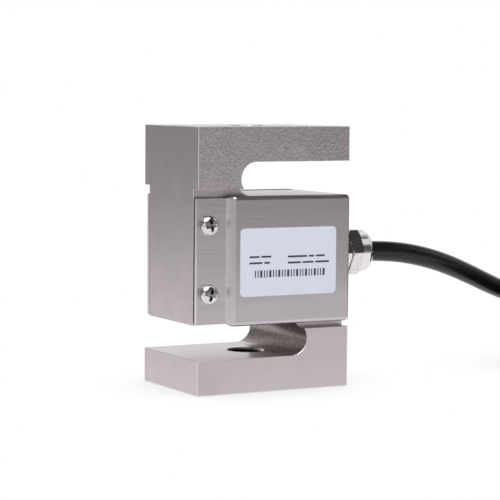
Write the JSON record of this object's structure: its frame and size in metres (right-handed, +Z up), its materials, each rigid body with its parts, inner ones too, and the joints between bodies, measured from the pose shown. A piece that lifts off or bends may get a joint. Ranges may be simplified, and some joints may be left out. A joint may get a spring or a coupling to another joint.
{
  "type": "s type load cell",
  "caption": "S-shaped steel tension and compression load cell: threaded holes in both arms, pressed covers over its gauge pockets, a plain label, and a glanded cable that ends in bare leads",
  "frame": {"origin": "centre of the bottom arm's outer face, on the loading axis through both threaded holes", "axes": "+Z up along the loading axis, +X across the body towards the cable gland, +Y to the rear"},
  "size_m": [0.2304, 0.0595, 0.077],
  "materials": {
    "beam_steel": "bead-blasted nickel plate, satin",
    "cover_steel": "horizontally brushed stainless sheet",
    "screw_steel": "bright stainless",
    "gland_metal": "polished nickel plate",
    "gasket_rubber": "matt",
    "seal_rubber": "matt",
    "claw_plastic": "moulded",
    "label_film": "matt film, plain marks only",
    "gauge_foil": "polyimide film",
    "coating": "silicone",
    "board": "glass-fibre laminate",
    "wire_enamel": "enamelled wire",
    "core_insulation": "insulated cores",
    "cable_jacket": "smooth glossy jacket",
    "tie_plastic": "moulded nylon",
    "lead_red_skin": "insulation",
    "lead_black_skin": "insulation",
    "lead_green_skin": "insulation",
    "lead_white_skin": "insulation",
    "lead_screen_metal": "tinned drain wire"
  },
  "bodies": {
    "root": {"s_beam_body": "beam_steel", "front_cover": "cover_steel", "rear_cover": "cover_steel", "front_gasket": "gasket_rubber", "rear_gasket": "gasket_rubber", "front_screw_upper": "screw_steel", "front_screw_lower": "screw_steel", "rear_screw_upper": "screw_steel", "rear_screw_lower": "screw_steel", "label": "label_film", "front_strain_gauge": "gauge_foil", "rear_strain_gauge": "gauge_foil", "front_gauge_coating": "coating", "rear_gauge_coating": "coating", "terminal_board": "board", "core_wires": "core_insulation", "bridge_wires": "wire_enamel", "gland_washer": "seal_rubber", "gland_body": "gland_metal", "gland_claw": "claw_plastic", "gland_seal": "seal_rubber", "gland_dome_nut": "gland_metal", "cable_inner_end": "cable_jacket", "cable": "cable_jacket", "cable_hank": "cable_jacket", "hank_tie": "tie_plastic", "lead_red": "lead_red_skin", "lead_black": "lead_black_skin", "lead_green": "lead_green_skin", "lead_white": "lead_white_skin", "lead_screen": "lead_screen_metal"}
  },
  "joints": []
}
